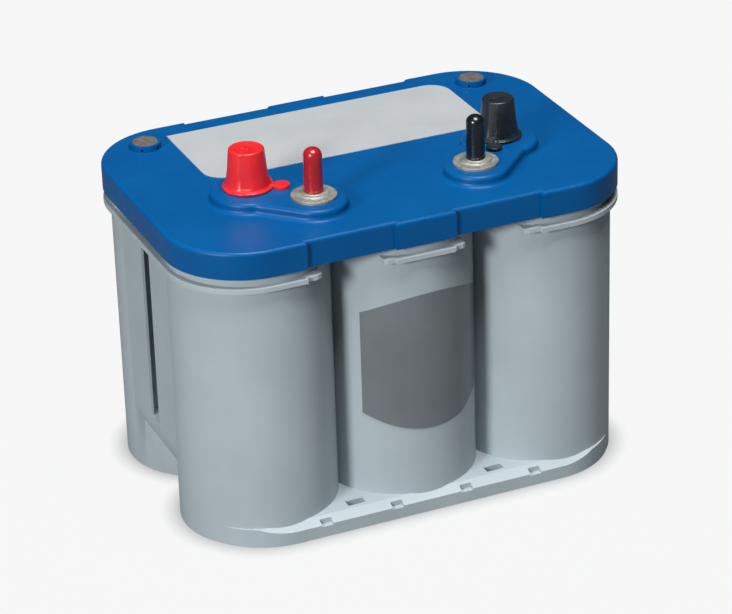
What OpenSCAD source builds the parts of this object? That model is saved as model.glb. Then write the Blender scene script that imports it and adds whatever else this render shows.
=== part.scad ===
// Twelve volt deep cycle battery with six wound cells.
// Origin: centre of the footprint on the ground. +X runs along the length, +Y to the back.

/* [Cells] */
// Radius of the round space that holds one wound cell
cell_bore_r = 39.7; // [33:0.1:48]
// Thickness of the plastic between two cells along the length
cell_gap_x = 1.9; // [1.5:0.1:3]
// Thickness of the plastic between the front and back rows of cells
cell_gap_y = 3.2; // [1.5:0.1:4]
// Thickness of one pasted lead plate
plate_t = 1.3; // [1:0.1:1.6]
// Thickness of one layer of glass mat
mat_t = 0.9; // [0.7:0.1:1.2]
// Gap between a plate and the mat beside it
wind_gap = 0.1; // [0.05:0.05:0.15]
// Radius of the open core of a winding
core_r = 4.9; // [4:0.1:7]
// Distance the mats stand above and below the plates
mat_overhang = 3; // [2:0.5:5]

/* [Case] */
// Height of the top face of the lid above the ground
lid_top_z = 172; // [140:1:210]
// Thickness of the round outer walls
well_wall = 3; // [2.4:0.1:4]
// Thickness of the case floor
floor_t = 4; // [3:0.5:6]
// Distance from the top face of the lid down to the rims of the wells
rim_drop = 12; // [11:0.5:16]
// Thickness of the ledge under the lid and of the deck around the rims
ledge_t = 2.6; // [2:0.1:4]
// Distance the ledge stands out of the round walls
ledge_reach = 5.6; // [4:0.1:8]
// Half the length of the ledge segment on a middle well
ledge_mid_l = 23; // [17:0.5:30]
// Distance from the middle of the length to the ledge segments round the ends
ledge_end_x = 57; // [50:0.5:66]
// Open height between the lid's skirt and the ledge
ledge_gap = 5.5; // [4:0.5:9]
// Width of the web that joins the two wells at each end
end_web_w = 64; // [40:1:70]
// Width of the upright groove in the end web
end_groove_w = 12; // [8:1:16]
// Depth of the upright groove in the end web
end_groove_d = 11; // [6:1:14]
// Thickness of the thin fins on both sides of the end groove
end_fin_t = 1.5; // [1:0.1:4]
// Width of the hollow behind the fins
end_hollow_w = 24; // [16:0.5:25]
// Height of the bottom of the end groove
end_groove_z = 42; // [30:1:60]
// Thickness of the ribs in the pockets between four wells
pocket_rib_t = 3; // [2:0.5:4]

/* [Foot flange] */
// Height of the flange along the two long sides
foot_h = 10.5; // [8:0.5:14]
// Height of the flange's upright outer face
foot_edge_h = 7.2; // [5:0.2:8]
// Width of the sloping strip along the flange's outer edge
foot_slope_w = 5; // [3:0.5:7]
// Distance the flange stands out past the round walls
foot_reach = 3.6; // [3:0.1:6]
// Width of one notch in the flange's outer edge
foot_notch_w = 6.6; // [4:0.2:9]
// Distance of a notch from the middle line of its valley
foot_notch_off = 20.4; // [16:0.2:24]
// Depth of a notch in from the flange's outer face
foot_notch_d = 3.2; // [2:0.1:5]
// Height of a notch's floor above the ground
foot_notch_z = 5; // [3:0.2:6]
// Length of one slot in the flange
foot_slot_l = 10; // [6:0.5:14]
// Width of one slot in the flange
foot_slot_w = 5; // [4.5:0.5:6]

/* [Lid] */
// Distance the lid stands out past the round walls
lid_overhang = 3; // [2.4:0.1:5]
// Radius of the lid's corners
lid_corner_r = 43; // [30:1:45]
// Thickness of the lid's top plate
lid_t = 3.5; // [3:0.1:5]
// Height of the lid's skirt
skirt_h = 15; // [14:0.5:20]
// Thickness of the skirt
skirt_t = 2.6; // [2:0.1:3]
// Depth of the shallow steps in the long sides
side_step = 2.2; // [1:0.1:2.4]
// Half the length of the proud stretch over the middle cells
mid_proud = 17; // [10:1:24]
// Distance from the lid's end to the proud end stretch's edge
end_proud = 61; // [50:1:66]
// Height of the raised pads under the terminals
pad_h = 6; // [4:0.5:8]
// Width of the sloping foot around each pad
pad_slope = 3.4; // [2:0.1:5]

/* [Terminals] */
// Distance of each tapered post from the middle of the length
post_x = 72; // [66:0.5:76]
// Distance of the posts in front of the middle line
post_y = 22.5; // [21:0.5:26]
// Distance of each threaded stud from the middle of the length
stud_x = 46; // [43:0.5:50]
// Distance of the studs in front of the middle line
stud_y = 49; // [46:0.5:50]
// Height of a tapered post above its pad
post_h = 19; // [16:0.5:24]
// Diameter of the positive post at its foot
positive_post_d = 17.5; // [16:0.1:18.4]
// Diameter of the negative post at its foot
negative_post_d = 15.9; // [15:0.1:17]
// Radius of the raised pad around a post
post_pad_r = 19.5; // [17:0.5:21]
// Radius of the raised pad around a stud
stud_pad_r = 16.3; // [15:0.5:18]
// Diameter of the studs' thread
stud_d = 7.94; // [6:0.01:9]
// Pitch of the studs' thread
stud_pitch = 1.41; // [1:0.01:1.6]
// Height of a stud above its lead base
stud_h = 21.5; // [20:0.5:32]
// Radius of the lead base around a stud
stud_base_r = 12; // [10:0.5:14]
// Height of the lead base's flat rim
stud_base_rim_h = 1.6; // [1.2:0.1:2]
// Height of the whole lead base
stud_base_h = 3.2; // [2.8:0.1:4]

/* [Caps] */
// Wall of the two post caps
post_cap_wall = 1.5; // [1:0.1:2]
// Wall of the two stud caps
stud_cap_wall = 0.9; // [0.7:0.1:1.4]
// Extra radius of a post cap's outside at its foot
post_cap_flare = 0.9; // [0:0.1:1.4]
// Gap between a cap and the metal inside it
cap_gap = 0.3; // [0.3:0.05:0.4]
// Distance the rim of a post cap stands out
cap_brim = 1.9; // [1.4:0.1:2.4]
// Thickness of the rim and of the pull tab
cap_brim_t = 1.7; // [1.2:0.1:2.4]
// Distance from the cap's middle to the pull tab's pad
cap_tab_l = 17.5; // [16:0.5:18]
// Radius of the pull tab's pad
cap_tab_r = 4; // [3:0.1:4]

/* [Vents and labels] */
// Distance of each vent from the end of the lid
vent_end = 30; // [27:0.5:34]
// Distance of each vent from the back of the lid
vent_side = 22.8; // [22:0.2:26]
// Radius of the raised boss around a vent
vent_boss_r = 8.6; // [8.6:0.1:10]
// Height of the raised boss
vent_boss_h = 3.4; // [3:0.1:4]
// Radius of the porous disc
vent_disc_r = 7; // [6:0.1:7]
// Thickness of the porous disc
vent_disc_t = 2; // [1.5:0.1:2.5]
// Thickness of the label films
label_t = 0.25; // [0.2:0.05:0.4]
// Radius of the top label's two round corners
label_corner_r = 12; // [4:1:16]
// Distance of the top label from the back of the lid
label_side = 15; // [12:1:20]
// Half the angle that the front label wraps round
front_label_angle = 52; // [30:1:55]
// Angle by which the front label sits round to the right
front_label_turn = 4; // [0:1:6]
// Height of the middle of the front label
front_label_z = 88; // [80:1:90]
// Height of the front label's straight sides
front_label_side_h = 59; // [40:1:64]
// Height that each arched end of the front label adds
front_label_arch_h = 10; // [4:1:14]

/* [Hidden] */
$fn = 96;
seal_gap = 0.1; // between a sealed-in piece and the plastic around it
post_top_gap = 1.8; // from a post's top to the cap above it
well_r = cell_bore_r + well_wall;
pitch_x = 2 * cell_bore_r + cell_gap_x;
pitch_y = 2 * cell_bore_r + cell_gap_y;
row_y = pitch_y / 2;
lid_l = 2 * (pitch_x + well_r + lid_overhang);
lid_w = 2 * (row_y + well_r + lid_overhang);
rim_z = lid_top_z - rim_drop;
skirt_z = lid_top_z - skirt_h;
ledge_z = skirt_z - ledge_gap - ledge_t;
under_lid_z = lid_top_z - lid_t;
pad_z = lid_top_z + pad_h;

// Cells in the order in which the current runs through them
cell_x = [-pitch_x, -pitch_x, 0, 0, pitch_x, pitch_x];
cell_y = [-row_y, row_y, row_y, -row_y, -row_y, row_y];
cell_count = len(cell_x);

// A riser carries the current up half way between a post and its stud
riser_x = (post_x + stud_x) / 2;
riser_y = -(post_y + stud_y) / 2;
riser_r = 6;
positive_lead_angle = atan2(riser_y + row_y, pitch_x - riser_x);
// Directions from each cell to the piece before it and the piece after it
positive_angle = [positive_lead_angle, 270, 180, 90, 180, 270];
negative_angle = [90, 0, 270, 0, 90, 180];

// Plate pack
wind_pitch = 2 * (plate_t + mat_t) + 4 * wind_gap;
wind_shift = wind_pitch / 4; // brings the middle of the winding over the middle of its cell
turns = floor((cell_bore_r - 0.4 - core_r - wind_pitch + wind_shift) / wind_pitch);
mat_z = floor_t;
strap_t = 6;
strap_w = 12;
strap_start = 10.5; // from the middle of the cell
strap_top_gap = 9; // from a strap's top to the rims of the wells
strap_z = rim_z - strap_top_gap - strap_t;
mat_h = strap_z - 6 - mat_z;
plate_z = mat_z + mat_overhang;
plate_h = mat_h - 2 * mat_overhang;
lug_h = strap_z - plate_z - plate_h;

// Upright ends of the straps and the welds between them
riser_plate_t = 3;
riser_plate_d = sqrt(pow(cell_bore_r - 0.4, 2) - pow(strap_w / 2, 2));
riser_plate_h = strap_top_gap - 1;
weld_r = 3.6;
weld_z = strap_z + strap_t + riser_plate_h / 2;

// Lead bridge inside each pad and bar under the lid
bridge_z = lid_top_z - 2;
bridge_h = 5;
bridge_r = 7.5;
bridge_w = 9;
bar_z = rim_z + 1;
bar_h = 4.6;
bar_w = 11;
bar_slack = 0.6;
channel_w = bar_w + 2 * bar_slack;

// Vents
vent_x = lid_l / 2 - vent_end;
vent_y = lid_w / 2 - vent_side;
cup_r = vent_disc_r + 1.5;
cup_floor_z = rim_z + 1.5;
cup_floor_t = 1.6;
nozzle_r = 2.8;
nozzle_bore_r = 1.2;
nozzle_h = 5;
valve_wall = 1.1;
valve_gap = 0.15;
vent_slot_w = 1.1;
vent_slot_off = 4.4;

// Labels
film_gap = 0.05; // under the front label
label_gap = 6.4;
label_back = lid_w / 2 - label_side;
label_front = -post_y + post_pad_r + pad_slope + 5.5;
label_half_l = vent_x - vent_boss_r - label_gap;

// ---- Outlines ----

module rounded_rect(l, w, r) {
    square([l - 2 * r, w], center = true);
    square([l, w - 2 * r], center = true);
    for (sx = [-1, 1], sy = [-1, 1])
        translate([sx * (l / 2 - r), sy * (w / 2 - r)]) circle(r);
}

module lid_outline(inset = 0) {
    recess_l = lid_l / 2 - end_proud - mid_proud;
    difference() {
        rounded_rect(lid_l - 2 * inset, lid_w - 2 * inset, lid_corner_r - inset);
        for (sx = [-1, 1], sy = [-1, 1])
            translate([sx * (mid_proud + recess_l / 2), sy * (lid_w / 2 - inset)])
                square([recess_l + 2 * inset, 2 * side_step], center = true);
    }
}

module at_cells() {
    for (c = [0:cell_count - 1]) translate([cell_x[c], cell_y[c]]) children();
}

// ---- Case ----

module end_webs() {
    // Joins the two wells at each end, with an underside that curves in towards the ground
    web_x = pitch_x + sqrt(pow(well_r, 2) - pow(row_y - end_web_w / 2, 2));
    web_in = pitch_x + 6;
    steps = 8;
    for (s = [-1, 1])
        difference() {
            rotate([90, 0, 0])
                linear_extrude(end_web_w, center = true)
                    polygon([
                        for (k = [0:steps]) [
                            s * (web_x - (web_x - web_in) * pow(k / steps, 2)),
                            (end_groove_z - 2) * (1 - k / steps)
                        ],
                        [s * web_in, ledge_z + ledge_t],
                        [s * web_x, ledge_z + ledge_t]
                    ]);
            translate([s * web_x, 0, (end_groove_z + ledge_z) / 2])
                cube([2 * end_groove_d, end_groove_w, ledge_z - end_groove_z], center = true);
            // The valley between the two wells stays open behind the fins
            translate([s * (web_in + web_x) / 2, 0, (end_groove_z + ledge_z) / 2])
                cube([web_x - web_in - 2 * end_fin_t, end_hollow_w, ledge_z - end_groove_z], center = true);
        }
}

module ledge() {
    linear_extrude(ledge_t)
        intersection() {
            lid_outline();
            union() {
                at_cells() circle(well_r + ledge_reach);
                for (s = [-1, 1])
                    translate([s * (pitch_x + well_r / 2 + lid_overhang / 2), 0])
                        square([well_r + lid_overhang, pitch_y], center = true);
            }
            // Segments over the middle wells and round both ends
            union() {
                square([2 * ledge_mid_l, lid_w], center = true);
                for (s = [-1, 1])
                    translate([s * (ledge_end_x + lid_l) / 2, 0])
                        square([lid_l - ledge_end_x, lid_w], center = true);
            }
        }
}

module foot_flange() {
    foot_w = 2 * (row_y + well_r + foot_reach);
    foot_r = well_r + 1.9;
    foot_l = 2 * (pitch_x + well_r) - 4;
    module outline(inset) {
        intersection() {
            rounded_rect(foot_l - 2 * inset, foot_w - 2 * inset, foot_r - inset);
            for (s = [-1, 1])
                translate([0, s * (row_y + foot_w / 2) / 2])
                    square([foot_l, foot_w / 2 - row_y], center = true);
        }
    }
    difference() {
        union() {
            linear_extrude(foot_edge_h) outline(0);
            for (s = [-1, 1])
                intersection() {
                    linear_extrude(foot_h) outline(0);
                    rotate([90, 0, 90])
                        linear_extrude(foot_l, center = true)
                            polygon([
                                [0, 0],
                                [s * foot_w / 2, 0],
                                [s * foot_w / 2, foot_edge_h],
                                [s * (foot_w / 2 - foot_slope_w), foot_h],
                                [0, foot_h]
                            ]);
                }
        }
        for (sx = [-1, 1], sy = [-1, 1]) {
            valley_x = sx * pitch_x / 2;
            // Slot through the flange in the mouth of the valley
            translate([valley_x, sy * (foot_w / 2 - foot_slope_w - 5.2), foot_h / 2])
                cube([foot_slot_l, foot_slot_w, 2 * foot_h], center = true);
            for (k = [-1, 1])
                translate([valley_x + k * foot_notch_off, sy * foot_w / 2, foot_notch_z + foot_h])
                    cube([foot_notch_w, 2 * foot_notch_d, 2 * foot_h], center = true);
        }
    }
}

module pocket_ribs() {
    // Cross ribs stiffen the open pockets between four wells
    linear_extrude(rim_z - ledge_t) {
        square([2 * pitch_x, pocket_rib_t], center = true);
        for (s = [-1, 1])
            translate([s * pitch_x / 2, 0]) square([pocket_rib_t, pitch_y], center = true);
    }
}

module case() {
    deck_inset = skirt_t + 0.3;
    color("#A4ADB1")
        difference() {
            union() {
                linear_extrude(rim_z) at_cells() circle(well_r);
                translate([0, 0, skirt_z + 0.4])
                    linear_extrude(rim_z - skirt_z - 0.4) lid_outline(deck_inset);
                translate([0, 0, ledge_z]) ledge();
                end_webs();
                foot_flange();
                pocket_ribs();
            }
            translate([0, 0, floor_t])
                linear_extrude(rim_z) at_cells() circle(cell_bore_r);
            for (w = [0:cell_count - 2])
                at_weld(w) cylinder(h = 4 * well_wall, r = weld_r + seal_gap, center = true);
        }
}

// ---- Lid ----

module pad_outline(side, grow = 0) {
    // One round boss at the post, one at the stud, and a straight stretch between them
    translate([side * post_x, -post_y]) circle(post_pad_r + grow);
    translate([side * stud_x, -stud_y]) circle(stud_pad_r + grow);
    mid_x = (post_x + stud_x) / 2;
    mid_y = (post_y + stud_y) / 2;
    translate([side * mid_x, -mid_y])
        rotate(side * atan2(post_y - stud_y, stud_x - post_x) + 90)
            square([1.84 * (stud_pad_r + grow), norm([post_x - stud_x, post_y - stud_y])], center = true);
}

module pad(side) {
    steps = 4;
    translate([0, 0, lid_top_z - 0.5]) linear_extrude(pad_h + 0.5) pad_outline(side);
    // The foot spreads out in low steps
    for (k = [1:steps])
        translate([0, 0, lid_top_z - 0.5])
            linear_extrude(0.5 + (pad_h - 1) * pow(1 - k / (steps + 1), 2))
                pad_outline(side, pad_slope * k / steps);
}

module bridge_shape(side, grow = 0) {
    for (p = [[post_x, -post_y], [stud_x, -stud_y]])
        translate([side * p[0], p[1]]) circle(bridge_r + grow);
    translate([side * riser_x, riser_y])
        rotate(side * atan2(post_y - stud_y, stud_x - post_x) + 90)
            square([bridge_w + 2 * grow, norm([post_x - stud_x, post_y - stud_y])], center = true);
}

module vent_boss() {
    cylinder(h = vent_boss_h + lid_t, r = vent_boss_r);
    translate([0, 0, cup_floor_z - under_lid_z])
        cylinder(h = under_lid_z - cup_floor_z + lid_t, r = cup_r);
}

module vent_space() {
    cup_h = lid_top_z + vent_boss_h - cup_floor_z - cup_floor_t;
    difference() {
        translate([0, 0, cup_floor_z + cup_floor_t]) cylinder(h = cup_h + 1, r = vent_disc_r + seal_gap);
        translate([0, 0, cup_floor_z]) cylinder(h = cup_floor_t + nozzle_h, r = nozzle_r);
        // Ring that the porous disc sits on
        translate([0, 0, lid_top_z + vent_boss_h - vent_disc_t - 1.5])
            difference() {
                cylinder(h = 1.5, r = vent_disc_r + 1);
                cylinder(h = 4, r = vent_disc_r - 1.2, center = true);
            }
    }
    translate([0, 0, cup_floor_z - 1]) cylinder(h = cup_h, r = nozzle_bore_r);
    for (s = [-1, 1])
        translate([s * vent_slot_off, -vent_boss_r + 2, lid_top_z + 1.2])
            cube([vent_slot_w, 6, 1.6], center = true);
}

module lid() {
    color("#0059A3")
        difference() {
            union() {
                translate([0, 0, skirt_z]) linear_extrude(skirt_h) lid_outline();
                for (side = [-1, 1]) {
                    pad(side);
                    translate([side * vent_x, vent_y, under_lid_z]) vent_boss();
                }
            }
            // Hollow underside, with a collar left standing over the rim of each well
            difference() {
                translate([0, 0, skirt_z - 1])
                    linear_extrude(under_lid_z - skirt_z + 1) lid_outline(skirt_t);
                translate([0, 0, rim_z])
                    linear_extrude(lid_top_z - rim_z)
                        difference() {
                            at_cells() circle(well_r);
                            at_cells() circle(cell_bore_r);
                        }
                for (side = [-1, 1])
                    translate([side * vent_x, vent_y, cup_floor_z])
                        cylinder(h = lid_top_z - cup_floor_z, r = cup_r);
            }
            for (side = [-1, 1]) {
                translate([side * vent_x, vent_y]) vent_space();
                translate([0, 0, bridge_z]) linear_extrude(bridge_h) bridge_shape(side, seal_gap);
                translate([side * riser_x, riser_y, rim_z])
                    cylinder(h = bridge_z - rim_z + 1, r = riser_r + seal_gap);
                translate([side * post_x, -post_y, bridge_z + bridge_h])
                    cylinder(h = pad_h + 2, r = bushing_r() + seal_gap);
                translate([side * stud_x, -stud_y, bridge_z + bridge_h])
                    cylinder(h = pad_h + 2, r = stud_stem_r() + seal_gap);
            }
            // Channel for the bar that crosses from the last cell to the negative terminal
            translate([riser_x, (row_y + riser_y) / 2, bar_z + bar_h / 2])
                cube([channel_w, row_y - riser_y + channel_w, bar_h + 2 * bar_slack], center = true);
        }
}

// ---- Wound cells ----

// One wound layer as half rings that grow by half a turn's pitch at each half turn
module wound_layer(start_r, thickness) {
    for (k = [0:2 * turns - 1]) {
        even = k % 2 == 0;
        r = start_r + k * wind_pitch / 2;
        translate([(even ? 0 : wind_pitch / 2) - wind_shift, 0])
            intersection() {
                difference() {
                    circle(r + thickness);
                    circle(r);
                }
                translate([0, (even ? 1 : -1) * (r + thickness + 1) / 2])
                    square([2 * (r + thickness) + 2, r + thickness + 1], center = true);
            }
    }
}

module wound_plate(c, start_r, lead_angle) {
    // Lugs stand up from the winding below the strap
    translate([cell_x[c], cell_y[c], plate_z]) {
        linear_extrude(plate_h) wound_layer(start_r, plate_t);
        linear_extrude(plate_h + lug_h)
            intersection() {
                wound_layer(start_r, plate_t);
                rotate(lead_angle)
                    translate([strap_start + 0.5, 2 - strap_w / 2])
                        square([riser_plate_d - strap_start - 1, strap_w - 4]);
            }
    }
}

module positive_plate(c) {
    color("#5B4A41") wound_plate(c, core_r, positive_angle[c]);
}

module negative_plate(c) {
    color("#8C8F8E") wound_plate(c, core_r + plate_t + mat_t + 2 * wind_gap, negative_angle[c]);
}

module glass_mats(c) {
    mat_starts = [
        core_r + plate_t + wind_gap,
        core_r + 2 * plate_t + mat_t + 3 * wind_gap
    ];
    color("#EDEBE4")
        translate([cell_x[c], cell_y[c], mat_z])
            linear_extrude(mat_h)
                for (start = mat_starts) wound_layer(start, mat_t);
}

module strap_bar(c, angle, upright) {
    translate([cell_x[c], cell_y[c], strap_z])
        rotate(angle) {
            translate([strap_start, -strap_w / 2, 0]) cube([riser_plate_d - strap_start, strap_w, strap_t]);
            if (upright)
                translate([riser_plate_d - riser_plate_t, -strap_w / 2, 0])
                    cube([riser_plate_t, strap_w, strap_t + riser_plate_h]);
        }
}

// The first positive strap and the last negative strap carry a pillar and have no upright end
module positive_strap(c) {
    color("#9A9A92") strap_bar(c, positive_angle[c], c > 0);
}

module negative_strap(c) {
    color("#9A9A92") strap_bar(c, negative_angle[c], c < cell_count - 1);
}

// Stands a child on the line between cell w and the next one, at the height of the weld
module at_weld(w) {
    translate([(cell_x[w] + cell_x[w + 1]) / 2, (cell_y[w] + cell_y[w + 1]) / 2, weld_z])
        rotate([0, 90, negative_angle[w]]) children();
}

module intercell_weld(w) {
    gap = negative_angle[w] % 180 == 0 ? cell_gap_x : cell_gap_y;
    color("#8A8A84")
        at_weld(w) cylinder(h = gap + 2 * (cell_bore_r - riser_plate_d), r = weld_r, center = true);
}

// ---- Terminals ----

function bushing_r() = 9.8;
function stem_r() = 6.4;
function stud_stem_r() = 7.2;
function stud_root_z() = bridge_z + bridge_h;

module positive_riser() {
    z = strap_z + strap_t;
    color("#9A9A92") translate([-riser_x, riser_y, z]) cylinder(h = bridge_z - z, r = riser_r);
}

module negative_bus_bar() {
    z = strap_z + strap_t;
    color("#9A9A92") {
        translate([riser_x, row_y, z]) cylinder(h = bar_z + bar_h - z, r = bar_w / 2);
        translate([riser_x, (row_y + riser_y) / 2, bar_z + bar_h / 2])
            cube([bar_w, row_y - riser_y, bar_h], center = true);
        translate([riser_x, riser_y, bar_z]) cylinder(h = bridge_z - bar_z, r = bar_w / 2);
    }
}

module bridge(side) {
    color("#9A9A92") translate([0, 0, bridge_z]) linear_extrude(bridge_h) bridge_shape(side);
}

module post_bushing(side) {
    z = stud_root_z();
    color("#A3A39C")
        translate([side * post_x, -post_y, z])
            difference() {
                cylinder(h = pad_z - z, r = bushing_r());
                cylinder(h = 3 * pad_h, r = stem_r() + seal_gap, center = true);
            }
}

module tapered_post(side, foot_d) {
    taper = post_h / 18;
    z = stud_root_z();
    color("#A3A39C")
        translate([side * post_x, -post_y]) {
            translate([0, 0, z]) cylinder(h = pad_z - z, r = stem_r());
            translate([0, 0, pad_z]) cylinder(h = post_h - 1, r1 = foot_d / 2, r2 = foot_d / 2 - taper);
            translate([0, 0, pad_z + post_h - 1])
                cylinder(h = 1, r1 = foot_d / 2 - taper, r2 = foot_d / 2 - taper - 0.9);
        }
}

module stud_base(side) {
    z = stud_root_z();
    color("#A3A39C")
        translate([side * stud_x, -stud_y])
            difference() {
                union() {
                    translate([0, 0, z]) cylinder(h = pad_z - z, r = stud_stem_r());
                    translate([0, 0, pad_z]) {
                        cylinder(h = stud_base_rim_h, r = stud_base_r);
                        translate([0, 0, stud_base_rim_h])
                            cylinder(h = 0.5, r1 = stud_base_r - 0.4, r2 = stud_base_r - 1.4);
                        cylinder(h = stud_base_h - 0.4, r1 = stud_base_r - 2, r2 = stud_base_r - 4);
                        cylinder(h = stud_base_h, r = stud_d / 2 + 1.7);
                    }
                }
                translate([0, 0, z + 1]) cylinder(h = 4 * pad_h, r = stud_d / 2 + 0.05);
            }
}

module stud(side) {
    depth = 0.6 * stud_pitch;
    foot_z = stud_root_z() + 1;
    thread_z = pad_z + stud_base_h + 1;
    top_z = pad_z + stud_base_h + stud_h;
    rings = floor((top_z - thread_z - 1.5) / stud_pitch);
    ridge = [for (k = [0:rings - 1]) each [
        [stud_d / 2 - depth, thread_z + k * stud_pitch],
        [stud_d / 2, thread_z + (k + 0.4) * stud_pitch],
        [stud_d / 2, thread_z + (k + 0.6) * stud_pitch]
    ]];
    color("#C9C9C6")
        translate([side * stud_x, -stud_y])
            rotate_extrude()
                polygon(concat(
                    [[0, foot_z], [stud_d / 2, foot_z], [stud_d / 2, thread_z - 0.6]],
                    ridge,
                    [[stud_d / 2 - depth, thread_z + rings * stud_pitch]],
                    [[stud_d / 2 - depth - 0.4, top_z], [0, top_z]]
                ));
}

// ---- Caps ----

module post_cap(side, foot_d, tab_angle, shade) {
    inner_r = foot_d / 2 + cap_gap;
    inner_h = post_h + post_top_gap;
    lean = inner_h / 18;
    outer_r = inner_r + post_cap_wall;
    color(shade)
        translate([side * post_x, -post_y, pad_z])
            difference() {
                union() {
                    cylinder(
                        h = inner_h + post_cap_wall - 0.8,
                        r1 = outer_r + post_cap_flare,
                        r2 = outer_r - lean
                    );
                    translate([0, 0, inner_h + post_cap_wall - 0.8])
                        cylinder(h = 0.8, r1 = outer_r - lean, r2 = outer_r - lean - 0.8);
                    cylinder(h = cap_brim_t, r = outer_r + post_cap_flare + cap_brim);
                    rotate(tab_angle) {
                        translate([0, -cap_tab_r / 2, 0]) cube([cap_tab_l, cap_tab_r, cap_brim_t]);
                        translate([cap_tab_l, 0, 0]) cylinder(h = cap_brim_t, r = cap_tab_r);
                    }
                }
                translate([0, 0, -0.01]) cylinder(h = inner_h, r1 = inner_r, r2 = inner_r - lean);
            }
}

module stud_cap(side, shade) {
    inner_r = stud_d / 2 + cap_gap;
    outer_r = inner_r + stud_cap_wall;
    inner_h = stud_h + 2;
    color(shade)
        translate([side * stud_x, -stud_y, pad_z + stud_base_h])
            rotate_extrude()
                difference() {
                    union() {
                        square([outer_r, inner_h + stud_cap_wall - outer_r * 0.6]);
                        intersection() {
                            translate([0, inner_h + stud_cap_wall - outer_r]) circle(outer_r);
                            square([outer_r, 2 * inner_h]);
                        }
                    }
                    translate([-1, -1]) square([inner_r + 1, inner_h - inner_r + 1.9]);
                    intersection() {
                        translate([0, inner_h - inner_r]) circle(inner_r);
                        square([inner_r, 2 * inner_h]);
                    }
                }
}

// ---- Vents ----

module vent_disc(side) {
    color("#6B6560")
        translate([side * vent_x, vent_y, lid_top_z + vent_boss_h - vent_disc_t])
            cylinder(h = vent_disc_t, r = vent_disc_r);
}

module relief_valve(side) {
    // Rubber cup that sits over the nozzle
    seat = 2.5;
    color("#2A2A2A")
        translate([side * vent_x, vent_y, cup_floor_z + cup_floor_t + nozzle_h - seat])
            difference() {
                cylinder(h = seat + valve_wall, r = nozzle_r + valve_gap + valve_wall);
                translate([0, 0, -1]) cylinder(h = seat + 1, r = nozzle_r + valve_gap);
            }
}

// ---- Labels ----

module top_label() {
    // Two opposite corners are round
    color("#C9CCCD")
        translate([0, 0, lid_top_z])
            linear_extrude(label_t)
                difference() {
                    translate([-label_half_l, label_front])
                        square([2 * label_half_l, label_back - label_front]);
                    for (s = [-1, 1])
                        translate([s * label_half_l, s > 0 ? label_back : label_front])
                            difference() {
                                square(2 * label_corner_r, center = true);
                                translate([-s * label_corner_r, -s * label_corner_r]) circle(label_corner_r);
                            }
                }
}

module front_label() {
    // A film with straight sides and arched ends, wrapped round the middle well
    half_w = well_r * sin(front_label_angle);
    arch_r = (pow(half_w, 2) + pow(front_label_arch_h, 2)) / (2 * front_label_arch_h);
    color("#8D9497")
        translate([0, -row_y, 0])
            rotate(front_label_turn)
                intersection() {
                    translate([0, 0, foot_h])
                        linear_extrude(ledge_z - foot_h)
                            difference() {
                                intersection() {
                                    circle(well_r + film_gap + label_t);
                                    translate([-well_r, -2 * well_r]) square(2 * well_r);
                                }
                                circle(well_r + film_gap);
                            }
                    translate([0, 0, front_label_z])
                        rotate([90, 0, 0])
                            linear_extrude(2 * well_r)
                                intersection() {
                                    square([2 * half_w, 2 * arch_r], center = true);
                                    translate([0, front_label_side_h / 2 + front_label_arch_h - arch_r])
                                        circle(arch_r);
                                    translate([0, arch_r - front_label_side_h / 2 - front_label_arch_h])
                                        circle(arch_r);
                                }
                }
}

// ---- Assembly ----

case();
lid();
for (c = [0:cell_count - 1]) {
    positive_plate(c);
    negative_plate(c);
    glass_mats(c);
    positive_strap(c);
    negative_strap(c);
}
for (w = [0:cell_count - 2])
    intercell_weld(w);
positive_riser();
negative_bus_bar();
bridge(-1);  // positive_bridge
bridge(1);  // negative_bridge
post_bushing(-1);  // positive_post_bushing
post_bushing(1);  // negative_post_bushing
tapered_post(-1, positive_post_d);  // positive_post
tapered_post(1, negative_post_d);  // negative_post
stud_base(-1);  // positive_stud_base
stud_base(1);  // negative_stud_base
stud(-1);  // positive_stud
stud(1);  // negative_stud
post_cap(-1, positive_post_d, -24, "#E22B2B");  // positive_post_cap
post_cap(1, negative_post_d, -123, "#1C2226");  // negative_post_cap
stud_cap(-1, "#C4202A");  // positive_stud_cap
stud_cap(1, "#12181B");  // negative_stud_cap
vent_disc(-1);  // left_vent_disc
vent_disc(1);  // right_vent_disc
relief_valve(-1);  // left_relief_valve
relief_valve(1);  // right_relief_valve
top_label();
front_label();
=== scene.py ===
import math

import bmesh
import bpy
from mathutils import Matrix, Vector


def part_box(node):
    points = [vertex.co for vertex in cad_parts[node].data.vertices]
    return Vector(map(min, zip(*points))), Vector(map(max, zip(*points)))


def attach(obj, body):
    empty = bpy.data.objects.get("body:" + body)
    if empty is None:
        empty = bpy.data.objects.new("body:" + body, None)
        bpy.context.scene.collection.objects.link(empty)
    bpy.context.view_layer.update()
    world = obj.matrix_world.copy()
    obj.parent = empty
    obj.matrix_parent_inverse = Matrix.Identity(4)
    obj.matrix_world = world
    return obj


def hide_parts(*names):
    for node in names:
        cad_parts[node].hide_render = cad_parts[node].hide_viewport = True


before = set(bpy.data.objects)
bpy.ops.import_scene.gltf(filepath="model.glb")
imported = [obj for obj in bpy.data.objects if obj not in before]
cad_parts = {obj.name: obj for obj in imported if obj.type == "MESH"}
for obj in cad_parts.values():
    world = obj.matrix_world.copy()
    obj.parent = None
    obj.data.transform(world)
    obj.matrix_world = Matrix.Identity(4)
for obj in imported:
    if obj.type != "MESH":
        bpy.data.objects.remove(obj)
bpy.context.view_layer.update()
mm = 0.001
host = "battery"  # the body that everything but the caps rides on
scene = bpy.context.scene


def boxOf(node):
    low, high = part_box(node)
    return Vector(low), Vector(high)


def middleOf(node):
    low, high = boxOf(node)
    return (low + high) / 2


# ---------- camera, light and floor ----------

cameraPlace = {
    "target": (-3.3, -11.9, 88.2),  # mm
    "azimuth": -22.92,
    "elevation": 26.51,
    "distance": 1707,  # mm
    "roll": -1.83,
    "lens": 155.26,
}


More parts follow.
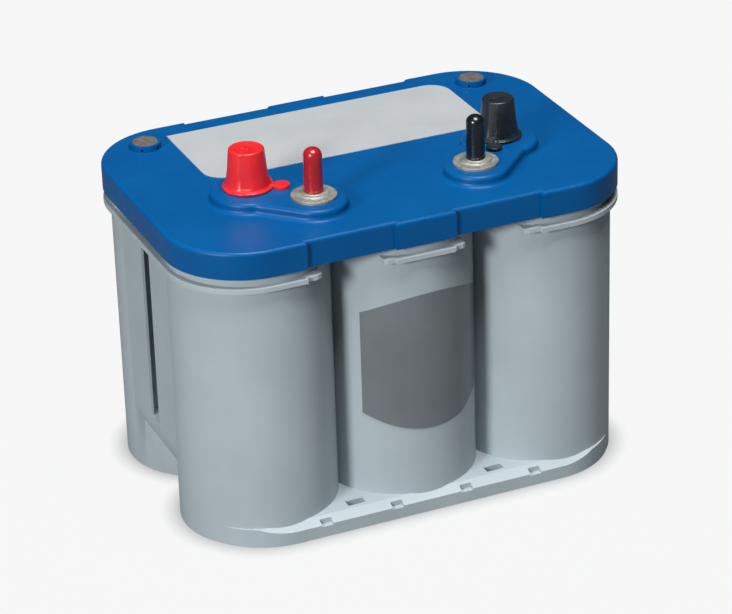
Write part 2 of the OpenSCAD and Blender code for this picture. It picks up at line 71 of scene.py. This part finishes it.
def placeCamera(place):
    azimuth = math.radians(place["azimuth"])
    elevation = math.radians(place["elevation"])
    back = Vector((
        math.sin(azimuth) * math.cos(elevation),
        -math.cos(azimuth) * math.cos(elevation),
        math.sin(elevation),
    ))
    right = (-back).cross(Vector((0, 0, 1))).normalized()
    up = right.cross(-back)
    turn = math.radians(place["roll"])
    rolledRight = right * math.cos(turn) + up * math.sin(turn)
    rolledUp = up * math.cos(turn) - right * math.sin(turn)
    bpy.ops.object.camera_add()
    camera = bpy.context.object
    camera.name = "camera"
    camera.data.sensor_width = 36
    camera.data.lens = place["lens"]
    camera.data.clip_end = 20
    camera.location = Vector(place["target"]) * mm + back * place["distance"] * mm
    camera.rotation_euler = Matrix((rolledRight, rolledUp, back)).transposed().to_euler()
    scene.camera = camera


lampPlaces = [
    # name, place in m, size in m, watts
    ("keySoftbox", (-2.15, -1.45, 1.1), 0.55, 62),
    ("topSoftbox", (0, -0.55, 2.4), 1.1, 72),
]


def placeLamps():
    aim = Vector((0, 0, 0.09))
    for name, place, size, watts in lampPlaces:
        bpy.ops.object.light_add(type="AREA", location=place)
        lamp = bpy.context.object
        lamp.name = name
        lamp.data.shape = "SQUARE"
        lamp.data.size = size
        lamp.data.energy = watts
        lamp.rotation_euler = (aim - lamp.location).to_track_quat("-Z", "Y").to_euler()


def hexColour(text):
    values = []
    for k in (0, 2, 4):
        part = int(text[k:k + 2], 16) / 255
        values.append(part / 12.92 if part <= 0.04045 else ((part + 0.055) / 1.055) ** 2.4)
    return (*values, 1)


def addNode(tree, kind, sockets=None, **settings):
    made = tree.nodes.new(kind)
    for name, value in settings.items():
        setattr(made, name, value)
    for name, value in (sockets or {}).items():
        if isinstance(value, bpy.types.NodeSocket):
            tree.links.new(value, made.inputs[name])
        else:
            made.inputs[name].default_value = value
    return made


def newMaterial(name):
    material = bpy.data.materials.new(name)
    material.use_nodes = True
    tree = material.node_tree
    tree.nodes.clear()
    return material, tree


def makeStudio():
    world = bpy.data.worlds.new("whiteStudio")
    scene.world = world
    world.use_nodes = True
    tree = world.node_tree
    tree.nodes.clear()
    path = addNode(tree, "ShaderNodeLightPath")
    soft = addNode(tree, "ShaderNodeBackground", {"Color": hexColour("F2F5F8"), "Strength": 0.05})
    white = addNode(tree, "ShaderNodeBackground", {"Color": (1, 1, 1, 1), "Strength": 1.0})
    both = addNode(tree, "ShaderNodeMixShader", {0: path.outputs["Is Camera Ray"], 1: soft.outputs[0],
                                                 2: white.outputs[0]})
    addNode(tree, "ShaderNodeOutputWorld", {"Surface": both.outputs[0]})

    # Pale paper sweep: nearly white to the eye, with painted shade under and round the battery, where an occlusion
    # mask swaps the white glow for the lit paper and its soft shadow
    material, tree = newMaterial("paleStudioPaper")
    path = addNode(tree, "ShaderNodeLightPath")
    paper = addNode(tree, "ShaderNodeBsdfDiffuse", {"Color": hexColour("6E7275")})
    glow = addNode(tree, "ShaderNodeEmission", {"Color": (1, 1, 1, 1), "Strength": 1.0})
    # painted shade: wherever the battery stands within 12 mm, the floor shows the darker lit paper instead of the
    # white glow
    occlusionForPaintedShade = addNode(tree, "ShaderNodeAmbientOcclusion", {"Distance": 12 * mm})
    clear = addNode(tree, "ShaderNodeMath", {0: occlusionForPaintedShade.outputs["AO"], 1: 0.91}, operation="MULTIPLY")
    lit = addNode(tree, "ShaderNodeMixShader", {0: clear.outputs[0], 1: paper.outputs[0], 2: glow.outputs[0]})
    seen = addNode(tree, "ShaderNodeMixShader", {0: path.outputs["Is Camera Ray"], 1: paper.outputs[0],
                                                 2: lit.outputs[0]})
    addNode(tree, "ShaderNodeOutputMaterial", {"Surface": seen.outputs[0]})
    bpy.ops.mesh.primitive_plane_add(size=12, location=(0, 0, 0))
    floor = bpy.context.object
    floor.name = "studioFloor"
    floor.data.materials.append(material)


placeCamera(cameraPlace)
placeLamps()
makeStudio()
print("camera, lamps and floor placed")


# ---------- materials ----------

def noiseAt(tree, coords, sizeMm, detail=3.0, roughness=0.5):
    # one cycle of the pattern is about sizeMm across
    return addNode(tree, "ShaderNodeTexNoise", {
        "Vector": coords, "Scale": 1 / (sizeMm * mm), "Detail": detail, "Roughness": roughness,
    })


def mixedColour(tree, factor, first, second):
    return addNode(tree, "ShaderNodeMix", {0: factor, 6: hexColour(first), 7: hexColour(second)},
                   data_type="RGBA").outputs[2]


def rangeOf(tree, value, low, high, fromLow=0.3, fromHigh=0.7):
    return addNode(tree, "ShaderNodeMapRange", {
        "Value": value, "From Min": fromLow, "From Max": fromHigh, "To Min": low, "To Max": high,
    }).outputs[0]


def mouldedPlastic(name, look):
    # Injection-moulded polymer: even colour with faint flow marks, a fine eroded grain that
    # breaks the highlight up, and rubbed spots that shine a little more
    material, tree = newMaterial(name)
    coords = addNode(tree, "ShaderNodeTexCoord").outputs["Object"]
    flow = noiseAt(tree, coords, look["flowMm"], 4.0, 0.55).outputs[0]
    rub = noiseAt(tree, coords, look["rubMm"], 5.0, 0.65).outputs[0]
    grain = noiseAt(tree, coords, look["grainMm"], 2.0).outputs[0]
    colour = mixedColour(tree, rangeOf(tree, flow, 0, 1), look["shade"], look["light"])
    rough = rangeOf(tree, rub, look["roughness"] - 0.06, look["roughness"] + 0.06)
    waves = addNode(tree, "ShaderNodeBump", {"Height": flow, "Strength": 0.25, "Distance": 0.2 * mm})
    bump = addNode(tree, "ShaderNodeBump", {
        "Height": grain, "Strength": look["grainStrength"], "Distance": 0.03 * mm, "Normal": waves.outputs[0],
    })
    shader = addNode(tree, "ShaderNodeBsdfPrincipled", {
        "Base Color": colour, "Roughness": rough, "IOR": 1.49, "Normal": bump.outputs[0],
        "Coat Weight": look.get("coat", 0.0), "Coat Roughness": 0.15,
        "Subsurface Weight": look.get("soft", 0.0), "Subsurface Scale": 1.5 * mm,
        "Specular IOR Level": look.get("specular", 0.5),
    })
    addNode(tree, "ShaderNodeOutputMaterial", {"Surface": shader.outputs[0]})
    return material


def castLead(name, look):
    # Cast lead alloy: dull oxide over a soft grey metal, pitted, brighter where it was handled
    material, tree = newMaterial(name)
    coords = addNode(tree, "ShaderNodeTexCoord").outputs["Object"]
    oxide = noiseAt(tree, coords, look["oxideMm"], 6.0, 0.7).outputs[0]
    pits = noiseAt(tree, coords, look["pitMm"], 3.0, 0.6).outputs[0]
    colour = mixedColour(tree, rangeOf(tree, oxide, 0, 1), look["shade"], look["light"])
    rough = rangeOf(tree, oxide, look["roughness"] - 0.12, look["roughness"] + 0.12)
    bump = addNode(tree, "ShaderNodeBump", {"Height": pits, "Strength": 0.7, "Distance": 0.25 * mm})
    shader = addNode(tree, "ShaderNodeBsdfPrincipled", {
        "Base Color": colour, "Roughness": rough, "Metallic": look["metallic"], "Normal": bump.outputs[0],
    })
    addNode(tree, "ShaderNodeOutputMaterial", {"Surface": shader.outputs[0]})
    return material


def sinteredFrit(name):
    # Porous polyethylene sinter: half-millimetre beads fused together, matt and brownish grey
    material, tree = newMaterial(name)
    coords = addNode(tree, "ShaderNodeTexCoord").outputs["Object"]
    beads = addNode(tree, "ShaderNodeTexVoronoi", {"Vector": coords, "Scale": 1 / (0.9 * mm)})
    tint = noiseAt(tree, coords, 2.5, 4.0, 0.6).outputs[0]
    colour = mixedColour(tree, rangeOf(tree, tint, 0, 1), "463F3A", "6F6760")
    bump = addNode(tree, "ShaderNodeBump", {
        "Height": beads.outputs["Distance"], "Strength": 0.8, "Distance": 0.3 * mm,
    }, invert=True)
    shader = addNode(tree, "ShaderNodeBsdfPrincipled", {
        "Base Color": colour, "Roughness": 0.85, "IOR": 1.5, "Normal": bump.outputs[0],
    })
    addNode(tree, "ShaderNodeOutputMaterial", {"Surface": shader.outputs[0]})
    return material


def vinylFilm(name, shade, light):
    # Printed vinyl sticker film: satin face with a slight orange-peel ripple
    material, tree = newMaterial(name)
    coords = addNode(tree, "ShaderNodeTexCoord").outputs["Object"]
    cloud = noiseAt(tree, coords, 30, 3.0).outputs[0]
    peel = noiseAt(tree, coords, 1.8, 2.0).outputs[0]
    colour = mixedColour(tree, rangeOf(tree, cloud, 0, 1), shade, light)
    bump = addNode(tree, "ShaderNodeBump", {"Height": peel, "Strength": 0.25, "Distance": 0.05 * mm})
    shader = addNode(tree, "ShaderNodeBsdfPrincipled", {
        "Base Color": colour, "Roughness": 0.34, "IOR": 1.5, "Normal": bump.outputs[0],
    })
    addNode(tree, "ShaderNodeOutputMaterial", {"Surface": shader.outputs[0]})
    return material


def rolledSteel(name):
    # Stainless steel with a rolled thread: bright, with fine turning marks round the axis
    material, tree = newMaterial(name)
    coords = addNode(tree, "ShaderNodeTexCoord").outputs["Object"]
    marks = addNode(tree, "ShaderNodeMapping", {"Vector": coords, "Scale": (1, 1, 14)})
    lines = noiseAt(tree, marks.outputs[0], 3, 3.0).outputs[0]
    rough = rangeOf(tree, lines, 0.18, 0.34)
    shader = addNode(tree, "ShaderNodeBsdfPrincipled", {
        "Base Color": hexColour("C8C7C2"), "Roughness": rough, "Metallic": 1.0,
    })
    addNode(tree, "ShaderNodeOutputMaterial", {"Surface": shader.outputs[0]})
    return material


looks = {
    "caseGrey": {"shade": "9FAAAF", "light": "A7B2B7", "roughness": 0.52, "flowMm": 45, "rubMm": 9,
                 "grainMm": 0.9, "grainStrength": 0.35, "specular": 0.35},
    "lidBlue": {"shade": "004B84", "light": "00518B", "roughness": 0.38, "flowMm": 40, "rubMm": 8,
                "grainMm": 0.8, "grainStrength": 0.3, "specular": 0.2},
    "capRed": {"shade": "CC1D24", "light": "D8272B", "roughness": 0.36, "flowMm": 9, "rubMm": 4,
               "grainMm": 0.6, "grainStrength": 0.25, "soft": 0.12},
    "capBlack": {"shade": "1A2024", "light": "20272B", "roughness": 0.36, "flowMm": 9, "rubMm": 4,
                 "grainMm": 0.6, "grainStrength": 0.25},
    "vinylRed": {"shade": "9C121C", "light": "A81822", "roughness": 0.27, "flowMm": 12, "rubMm": 5,
                 "grainMm": 1.5, "grainStrength": 0.1, "coat": 0.25},
    "vinylBlack": {"shade": "0C1115", "light": "11171B", "roughness": 0.27, "flowMm": 12, "rubMm": 5,
                   "grainMm": 1.5, "grainStrength": 0.1, "coat": 0.25},
    "lead": {"shade": "85867F", "light": "B4B4AC", "roughness": 0.5, "oxideMm": 5, "pitMm": 1.3, "metallic": 0.55},
    "peroxide": {"shade": "3E322B", "light": "5C4B40", "roughness": 0.8, "oxideMm": 4, "pitMm": 0.8, "metallic": 0.0},
    "sponge": {"shade": "747776", "light": "929594", "roughness": 0.7, "oxideMm": 4, "pitMm": 0.8, "metallic": 0.2},
}
caseGrey = mouldedPlastic("polypropyleneGrey", looks["caseGrey"])
lidBlue = mouldedPlastic("polypropyleneBlue", looks["lidBlue"])
capRed = mouldedPlastic("softPolyethyleneRed", looks["capRed"])
capBlack = mouldedPlastic("softPolyethyleneBlack", looks["capBlack"])
vinylRed = mouldedPlastic("dippedVinylRed", looks["vinylRed"])
vinylBlack = mouldedPlastic("dippedVinylBlack", looks["vinylBlack"])
leadGrey = castLead("castLeadAlloy", looks["lead"])
plateBrown = castLead("pastedLeadDioxide", looks["peroxide"])
plateGrey = castLead("pastedSpongeLead", looks["sponge"])
fritBrown = sinteredFrit("porousPolyethylene")
filmPale = vinylFilm("vinylFilmPale", "A6AAAC", "AEB2B4")
filmGrey = vinylFilm("vinylFilmGrey", "666C6F", "6E7477")
threadSteel = rolledSteel("stainlessSteel")
matWhite = vinylFilm("glassFibreMat", "DEDBD2", "EFEDE6")


def paint(piece, material):
    piece.data.materials.clear()
    piece.data.materials.append(material)


def paintNodes():
    for name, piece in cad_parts.items():
        if "positive_plate" in name:
            paint(piece, plateBrown)
        elif "negative_plate" in name:
            paint(piece, plateGrey)
        elif "glass_mats" in name:
            paint(piece, matWhite)
        elif name in ("positive_stud", "negative_stud"):
            paint(piece, threadSteel)
        elif "relief_valve" in name or name == "negative_post_cap":
            paint(piece, capBlack)
        elif "vent_disc" in name:
            paint(piece, fritBrown)
        elif name == "case":
            paint(piece, caseGrey)
        elif name == "lid":
            paint(piece, lidBlue)
        elif name == "top_label":
            paint(piece, filmPale)
        elif name == "front_label":
            paint(piece, filmGrey)
        elif name == "positive_post_cap":
            paint(piece, capRed)
        elif name == "positive_stud_cap":
            paint(piece, vinylRed)
        elif name == "negative_stud_cap":
            paint(piece, vinylBlack)
        else:
            paint(piece, leadGrey)


paintNodes()
print("materials made")

# ---------- tools for shaping ----------

def choose(piece):
    bpy.ops.object.select_all(action="DESELECT")
    piece.select_set(True)
    bpy.context.view_layer.objects.active = piece


def applyModifier(piece, kind, **settings):
    choose(piece)
    modifier = piece.modifiers.new(kind.lower(), kind)
    for name, value in settings.items():
        setattr(modifier, name, value)
    bpy.ops.object.modifier_apply(modifier=modifier.name)


def smooth(piece, angle=35):
    choose(piece)
    bpy.ops.object.shade_smooth_by_angle(angle=math.radians(angle))


def copyOfNode(node, name, material):
    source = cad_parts[node]
    piece = bpy.data.objects.new(name, source.data.copy())
    scene.collection.objects.link(piece)
    piece.data.transform(source.matrix_world)
    paint(piece, material)
    choose(piece)
    bpy.ops.object.mode_set(mode="EDIT")
    bpy.ops.mesh.select_all(action="SELECT")
    bpy.ops.mesh.remove_doubles(threshold=0.01 * mm)
    bpy.ops.mesh.dissolve_limited(angle_limit=math.radians(1))
    bpy.ops.mesh.normals_make_consistent(inside=False)
    bpy.ops.object.mode_set(mode="OBJECT")
    return piece


def standFor(piece, node, body):
    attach(piece, body)
    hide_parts(node)


def softenedCopy(node, name, material, width, segments=2, angle=30, before=None, sizes=None):
    piece = copyOfNode(node, name, material)
    if before:
        before(piece, sizes)
    applyModifier(piece, "BEVEL", width=width * mm, segments=segments, limit_method="ANGLE",
                  angle_limit=math.radians(angle), harden_normals=False)
    smooth(piece)
    applyModifier(piece, "WEIGHTED_NORMAL", keep_sharp=True, weight=60)
    standFor(piece, node, host)
    return piece


def meshPiece(name, points, faces, material):
    mesh = bpy.data.meshes.new(name)
    mesh.from_pydata([(x * mm, y * mm, z * mm) for x, y, z in points], [], faces)
    piece = bpy.data.objects.new(name, mesh)
    scene.collection.objects.link(piece)
    paint(piece, material)
    return piece


def turned(name, centre, profile, material, steps=96):
    # Profile points are (radius, height) in mm, from the foot inside to the foot outside or round again
    edges = [(k, k + 1) for k in range(len(profile) - 1)]
    mesh = bpy.data.meshes.new(name)
    mesh.from_pydata([((centre[0] + r) * mm, centre[1] * mm, (centre[2] + z) * mm) for r, z in profile], edges, [])
    piece = bpy.data.objects.new(name, mesh)
    scene.collection.objects.link(piece)
    paint(piece, material)
    choose(piece)
    bpy.ops.object.mode_set(mode="EDIT")
    bpy.ops.mesh.select_all(action="SELECT")
    bpy.ops.mesh.spin(steps=steps, angle=2 * math.pi, center=Vector(centre) * mm, axis=(0, 0, 1))
    bpy.ops.mesh.select_all(action="SELECT")
    bpy.ops.mesh.remove_doubles(threshold=0.004 * mm)
    bpy.ops.mesh.normals_make_consistent(inside=False)
    bpy.ops.object.mode_set(mode="OBJECT")
    return piece


def arc(centre, radius, start, end, steps):
    return [(centre[0] + radius * math.cos(math.radians(start + (end - start) * k / steps)),
             centre[1] + radius * math.sin(math.radians(start + (end - start) * k / steps)))
            for k in range(steps + 1)]


# ---------- case ----------

caseSizes = {
    "round": 0.5,
    "notchZ": 5,  # floor of the flange's notches in the plain part
    "notchShallowZ": 6.3,  # and where it shows
}


def raiseNotches(piece, sizes):
    for vert in piece.data.vertices:
        if abs(vert.co.z / mm - sizes["notchZ"]) < 0.05 and abs(vert.co.y / mm) > 80:
            vert.co.z = sizes["notchShallowZ"] * mm


softenedCopy("case", "caseShell", caseGrey, caseSizes["round"], before=raiseNotches, sizes=caseSizes)
print("case made")


# ---------- lid ----------

lidSizes = {
    "topZ": 172,
    "skirtZ": 157,
    "edgeRound": 2.1,
    "smallRound": 0.4,
    "padCut": (22, 105, -86, 6),  # block that clears the plain pads away: x from, x to, y from, y to
}

padSizes = {
    "post": (72, -22.5),
    "stud": (46, -49),
    "forward": 1.4,  # the pad sits a little in front of the metal
    "postR": 20.6,
    "studR": 17.4,
    "height": 6,
    "footRound": 2.5,
    "topRound": 2.4,
    "bushingR": 9.9,
}


def cutWithBlock(piece, low, high):
    middle = [(a + b) / 2 * mm for a, b in zip(low, high)]
    bpy.ops.mesh.primitive_cube_add(size=1, location=middle)
    block = bpy.context.object
    block.scale = [(b - a) * mm for a, b in zip(low, high)]
    bpy.ops.object.transform_apply(location=False, rotation=False, scale=True)
    applyModifier(piece, "BOOLEAN", operation="DIFFERENCE", object=block, solver="EXACT")
    bpy.data.objects.remove(block)


def makeLid(sizes):
    piece = copyOfNode("lid", "lidShell", lidBlue)
    x0, x1, y0, y1 = sizes["padCut"]
    top = sizes["topZ"]
    cutWithBlock(piece, (x0, y0, top), (x1, y1, top + 12))
    cutWithBlock(piece, (-x1, y0, top), (-x0, y1, top + 12))
    mesh = piece.data
    shape = bmesh.new()
    shape.from_mesh(mesh)
    for vert in shape.verts:
        if abs(vert.co.z - top * mm) < 0.05 * mm:
            vert.co.z = top * mm
    bmesh.ops.remove_doubles(shape, verts=shape.verts, dist=0.02 * mm)
    bmesh.ops.dissolve_degenerate(shape, dist=0.01 * mm, edges=shape.edges)
    bmesh.ops.dissolve_limit(shape, angle_limit=math.radians(1), verts=shape.verts, edges=shape.edges)
    weights = shape.edges.layers.float.new("bevel_weight_edge")
    for edge in shape.edges:
        if len(edge.link_faces) != 2 or edge.calc_face_angle(0) < math.radians(30):
            continue
        lowest = min(vert.co.z for face in edge.link_faces for vert in face.verts)
        upward = any(face.normal.z > 0.9 for face in edge.link_faces)
        flat = all(abs(v.co.z - top * mm) < 0.01 * mm for v in edge.verts)
        if flat and max(v.co.y for v in edge.verts) < 10 * mm and lowest > (top - 0.1) * mm:
            continue
        outer = upward and lowest < (sizes["skirtZ"] + 0.5) * mm and min(v.co.z for v in edge.verts) > (top - 0.1) * mm
        edge[weights] = 1 if outer else 0
    shape.to_mesh(mesh)
    shape.free()
    applyModifier(piece, "BEVEL", width=sizes["edgeRound"] * mm, segments=5, limit_method="WEIGHT",
                  use_clamp_overlap=False)
    applyModifier(piece, "BEVEL", width=sizes["smallRound"] * mm, segments=2, limit_method="ANGLE",
                  angle_limit=math.radians(40))
    smooth(piece)
    applyModifier(piece, "WEIGHTED_NORMAL", keep_sharp=True, weight=60)
    standFor(piece, "lid", host)


def padRing(side, sizes, grow):
    # Outline round the post and the stud, in a frame that runs from the post to the stud
    forward = Vector((0, sizes["forward"]))
    post, stud = Vector(sizes["post"]) - forward, Vector(sizes["stud"]) - forward
    along = (stud - post).normalized()
    across = Vector((-along.y, along.x))
    length = (stud - post).length
    postR, studR = sizes["postR"] + grow, sizes["studR"] + grow
    notchX = math.sqrt(postR ** 2 - studR ** 2)
    opening = math.degrees(math.atan2(studR, notchX))
    flat = [(notchX + (length - notchX) * k / 6, studR) for k in range(1, 6)]
    ring = arc((0, 0), postR, 360 - opening, opening, 64)
    ring += flat
    ring += arc((length, 0), studR, 90, -90, 40)
    ring += [(x, -y) for x, y in reversed(flat)]
    return [((post + along * x + across * y)[0] * side, (post + along * x + across * y)[1]) for x, y in ring]


def makePad(side, name, sizes):
    foot, top, height = sizes["footRound"], sizes["topRound"], sizes["height"]
    profile = [(foot, -0.4)]
    profile += [(foot - foot * math.sin(a * math.pi / 12), foot - foot * math.cos(a * math.pi / 12)) for a in range(7)]
    profile += [(top * math.cos(a * math.pi / 12) - top, height - top + top * math.sin(a * math.pi / 12))
                for a in range(7)]
    points, faces = [], []
    for grow, z in profile:
        points += [(x, y, lidSizes["topZ"] + z) for x, y in padRing(side, sizes, grow)]
    count = len(points) // len(profile)
    for row in range(len(profile) - 1):
        for k in range(count):
            a, b = row * count + k, row * count + (k + 1) % count
            faces.append((a, b, b + count, a + count))
    last = (len(profile) - 1) * count
    faces.append(tuple(range(last, last + count)))
    faces.append(tuple(reversed(range(count))))
    piece = meshPiece(name, points, faces, lidBlue)
    choose(piece)
    bpy.ops.object.mode_set(mode="EDIT")
    bpy.ops.mesh.select_all(action="SELECT")
    bpy.ops.mesh.normals_make_consistent(inside=False)
    bpy.ops.object.mode_set(mode="OBJECT")
    x, y = sizes["post"]
    bpy.ops.mesh.primitive_cylinder_add(vertices=96, radius=sizes["bushingR"] * mm, depth=20 * mm,
                                        location=(side * x * mm, y * mm, lidSizes["topZ"] * mm))
    hole = bpy.context.object
    applyModifier(piece, "BOOLEAN", operation="DIFFERENCE", object=hole, solver="EXACT")
    bpy.data.objects.remove(hole)
    smooth(piece)
    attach(piece, host)


makeLid(lidSizes)
makePad(-1, "positivePad", padSizes)
makePad(1, "negativePad", padSizes)
print("lid and pads made")


# ---------- caps ----------

capSizes = {
    "height": 22.3,
    "inside": 20.8,
    "lean": 1.09,
    "wall": 1.5,
    "flare": 0.9,
    "brim": 1.9,
    "brimT": 2.1,
    "tabLength": 17.5,
    "tabR": 4.4,
    "neckW": 4.0,
}

postCaps = {
    # side, radius of the bore at the foot, angle of the pull tab, angles of the flat faces
    "positivePostCap": {"side": -1, "bore": 9.05, "tab": -28, "flats": (8, -118), "material": capRed,
                        "node": "positive_post_cap", "sign": "+"},
    "negativePostCap": {"side": 1, "bore": 8.25, "tab": -123, "flats": (-132, -60), "material": capBlack,
                        "node": "negative_post_cap", "sign": "-"},
}


def makePostCap(name, look, sizes):
    x, y = padSizes["post"]
    centre = (look["side"] * x, y, 178)
    bore, lean, high = look["bore"], sizes["lean"], sizes["height"]
    outer = bore + sizes["wall"] + sizes["flare"]
    top = bore + sizes["wall"] - lean
    edge = 1.3
    profile = [(0, high - 0.75), (top - 3.4, high - 0.7), (top - 2.2, high - 0.1)]
    profile += arc((top - edge, high - edge), edge, 90, 8, 6)
    profile += [(top + (outer - top) * 0.5, high * 0.45), (outer, 3.4)]
    profile += [(outer + 1.0 - 0.95 * math.cos(math.radians(a)), 1.7 + 1.5 - 1.5 * math.sin(math.radians(a)))
                for a in (20, 45, 70, 90)]
    profile += arc((outer + sizes["brim"] - 0.75, 0.8), 0.75, 80, -80, 6)
    profile += [(bore + 0.2, 0.02), (bore, 0.3), (bore - lean, sizes["inside"]), (0, sizes["inside"])]
    piece = turned(name, centre, profile, look["material"], 120)

    # Two flat faces down the body, and a brim that waves a little, as soft mouldings have
    flats = [Vector((math.cos(math.radians(a)), math.sin(math.radians(a)), 0)) for a in look["flats"]]
    middle = Vector(centre) * mm
    for vert in piece.data.vertices:
        spot = vert.co - middle
        reach = math.hypot(spot.x, spot.y) / mm
        height = spot.z / mm
        wall = outer - (outer - top) * height / high
        if height > 3 and reach > bore + 0.1 - lean * height / high:
            for face in flats:
                vert.co -= face * max(0, spot.dot(face) - wall * 0.955 * mm)
        elif height <= 2 and reach > outer + 0.9:
            swing = math.atan2(spot.y, spot.x)
            vert.co.z += 0.16 * mm * (1 + math.sin(3 * swing + 0.7)) * (reach - outer - 0.9)
    smooth(piece, 32)
    standFor(piece, look["node"], look["node"] + "_body")

    # Pull tab: a narrow neck that opens into a round thumb pad
    turn = look["tab"]
    radius, length, half = sizes["tabR"], sizes["tabLength"], sizes["neckW"] / 2
    start = outer + 0.3
    entry = math.degrees(math.asin(half / radius))
    outline = [(start, half), (start, -half), (length - radius - 1.2, -half)]
    outline += arc((length, 0), radius, 180 + entry, 540 - entry, 40)
    outline += [(length - radius - 1.2, half)]
    along = Vector((math.cos(math.radians(turn)), math.sin(math.radians(turn))))
    spots = [(centre[0] + along.x * u - along.y * v, centre[1] + along.y * u + along.x * v) for u, v in outline]
    count = len(spots)
    points = [(px, py, 178.1) for px, py in spots] + [(px, py, 178.1 + sizes["brimT"] - 0.2) for px, py in spots]
    faces = [(k, (k + 1) % count, (k + 1) % count + count, k + count) for k in range(count)]
    faces += [tuple(reversed(range(count))), tuple(range(count, 2 * count))]
    tab = meshPiece(name + "Tab", points, faces, look["material"])
    applyModifier(tab, "BEVEL", width=0.55 * mm, segments=4, limit_method="ANGLE", angle_limit=math.radians(50))
    smooth(tab)
    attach(tab, look["node"] + "_body")

    # Small upright web where the neck meets the body
    foot, tip = outer - 0.4, outer + 3.6
    side = [(foot, 1.5), (tip, 1.5), (tip - 1.6, 2.4), (foot + 0.4, 6.2), (foot, 6.2)]
    count = len(side)
    points = [(centre[0] + along.x * u - along.y * w, centre[1] + along.y * u + along.x * w, 178 + h)
              for w in (-0.7, 0.7) for u, h in side]
    faces = [(k, (k + 1) % count, (k + 1) % count + count, k + count) for k in range(count)]
    faces += [tuple(reversed(range(count))), tuple(range(count, 2 * count))]
    web = meshPiece(name + "Web", points, faces, look["material"])
    applyModifier(web, "BEVEL", width=0.4 * mm, segments=3, limit_method="ANGLE", angle_limit=math.radians(30))
    smooth(web)
    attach(web, look["node"] + "_body")

    # Raised polarity sign on the dished top
    bars = [(6.4, 1.2), (1.2, 6.4)] if look["sign"] == "+" else [(6.4, 1.2)]
    for k, (long, wide) in enumerate(bars):
        bpy.ops.mesh.primitive_cube_add(size=1, location=(centre[0] * mm, centre[1] * mm, (178 + high - 0.5) * mm))
        bar = bpy.context.object
        bar.name = f"{name}Sign{k + 1}"
        bar.scale = (long * mm, wide * mm, 0.8 * mm)
        bpy.ops.object.transform_apply(location=True, rotation=False, scale=True)
        applyModifier(bar, "BEVEL", width=0.2 * mm, segments=3)
        paint(bar, look["material"])
        smooth(bar)
        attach(bar, look["node"] + "_body")


studCapSizes = {"outer": 5.15, "inner": 4.25, "height": 24.35, "footZ": 181.2}

studCaps = {
    "positiveStudCap": {"side": -1, "material": vinylRed, "node": "positive_stud_cap"},
    "negativeStudCap": {"side": 1, "material": vinylBlack, "node": "negative_stud_cap"},
}


def makeStudCap(name, look, sizes):
    # Dip-moulded sleeve: rolled bead at the mouth, a shade narrower half way, domed end
    x, y = padSizes["stud"]
    centre = (look["side"] * x, y, sizes["footZ"])
    outer, inner, high = sizes["outer"], sizes["inner"], sizes["height"]
    dome = outer - 0.25
    profile = [(0, high)]
    profile += [(dome * math.sin(math.radians(a)), high - 4.2 + 4.2 * math.cos(math.radians(a)))
                for a in (10, 22, 35, 48, 60, 72, 84)]
    profile += [(dome, high - 5), (dome + 0.02, high * 0.6), (dome + 0.12, high * 0.3), (dome + 0.05, 2.2),
                (dome + 0.1, 1.6)]
    profile += arc((outer - 0.55, 0.7), 0.55, 60, -90, 8)
    profile += [(inner, 0.3), (inner - 0.05, high - 5), (inner * 0.6, high - 1.6), (0, high - 1.1)]
    piece = turned(name, centre, profile, look["material"], 72)
    smooth(piece, 40)
    standFor(piece, look["node"], look["node"] + "_body")


for name, look in postCaps.items():
    makePostCap(name, look, capSizes)
for name, look in studCaps.items():
    makeStudCap(name, look, studCapSizes)
print("caps made")


# ---------- terminals and vents ----------

for node, name in (("positive_stud_base", "positiveStudBase"), ("negative_stud_base", "negativeStudBase")):
    softenedCopy(node, name, leadGrey, 0.3, segments=3)
for node, name in (("positive_post", "positivePost"), ("negative_post", "negativePost")):
    softenedCopy(node, name, leadGrey, 0.3)
for node, name in (("left_vent_disc", "leftVentDisc"), ("right_vent_disc", "rightVentDisc")):
    softenedCopy(node, name, fritBrown, 0.3, segments=3)
print("terminals and vents made")

# ---------- end ----------

scene.view_settings.view_transform = "Standard"
